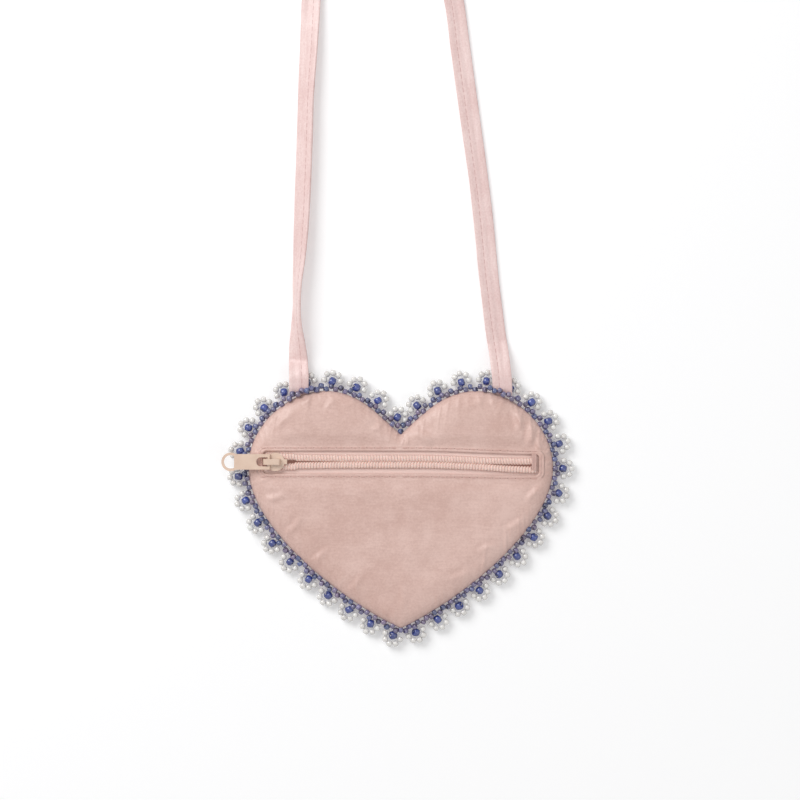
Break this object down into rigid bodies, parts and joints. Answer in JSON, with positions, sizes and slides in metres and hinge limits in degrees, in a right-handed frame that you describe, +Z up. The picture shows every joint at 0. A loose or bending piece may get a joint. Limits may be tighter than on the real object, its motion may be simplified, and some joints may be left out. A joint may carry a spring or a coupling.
{
  "type": "heart shaped purse",
  "caption": "Padded satin heart purse with a zip pocket in its back, a picot edge of glass beads and a flat shoulder strap.",
  "frame": {"origin": "middle of the heart on the flat front face that the purse rests on, 29.9 mm below the notch and 44.2 mm above the tip", "axes": "+Z up out of the zip side, +Y from the tip to the notch and the strap, +X along the zip from its open end to its closed end"},
  "size_m": [0.1325, 0.3503, 0.0106],
  "materials": {
    "satin": "satin weave with a soft sheen",
    "strap_satin": "satin weave with a soft sheen",
    "wadding": "matt fleece",
    "lining": "matt plain weave",
    "thread": "matt spun thread",
    "zip_cloth": "matt twill tape",
    "zip_coil": "moulded monofilament",
    "painted_metal": "smooth enamel",
    "spring_steel": "bright",
    "dusky_glass": "lustred glass",
    "blue_glass": "opaque glass",
    "clear_glass": "clear glass"
  },
  "bodies": {
    "root": {"front_panel": "satin", "front_wadding": "wadding", "front_lining": "lining", "back_lining": "lining", "back_wadding": "wadding", "back_panel": "satin", "zip_stitching": "thread", "end_bar_tack": "thread", "edge_beads_left": "dusky_glass", "edge_beads_right": "dusky_glass", "edge_thread": "thread", "picot_blue_left": "blue_glass", "picot_blue_right": "blue_glass", "picot_clear_left": "clear_glass", "picot_clear_right": "clear_glass", "picot_threads": "thread", "strap_left": "strap_satin", "strap_right": "strap_satin", "strap_coil": "strap_satin"},
    "upper_lip": {"zip_tape_upper": "zip_cloth", "zip_coil_upper": "zip_coil", "coil_cord_upper": "thread"},
    "lower_lip": {"zip_tape_lower": "zip_cloth", "zip_coil_lower": "zip_coil", "coil_cord_lower": "thread"},
    "slider": {"slider_body": "painted_metal", "slider_crown": "painted_metal", "lock_pawl": "spring_steel"},
    "pull": {"slider_pull": "painted_metal"}
  },
  "joints": [
    {"name": "slider_travel", "type": "slide", "parent": "root", "child": "slider", "axis": [1, 0, 0], "range_m": [0, 0.088]},
    {"name": "pull_swing", "type": "hinge", "parent": "slider", "child": "pull", "pos_m": [-0.0492, 0.0189, 0.0092], "axis": [0, 1, 0], "range_deg": [0, 175]},
    {"name": "upper_lip_open", "type": "slide", "parent": "root", "child": "upper_lip", "axis": [0, 1, 0], "range_m": [0, 0.0026], "deforming": ["zip_coil_upper", "coil_cord_upper"]},
    {"name": "lower_lip_open", "type": "slide", "parent": "root", "child": "lower_lip", "axis": [0, -1, 0], "range_m": [0, 0.0026], "deforming": ["zip_coil_lower", "coil_cord_lower"]}
  ],
  "couplings": [
    {"joint": "lower_lip_open", "follows": "upper_lip_open", "ratio": 1}
  ]
}
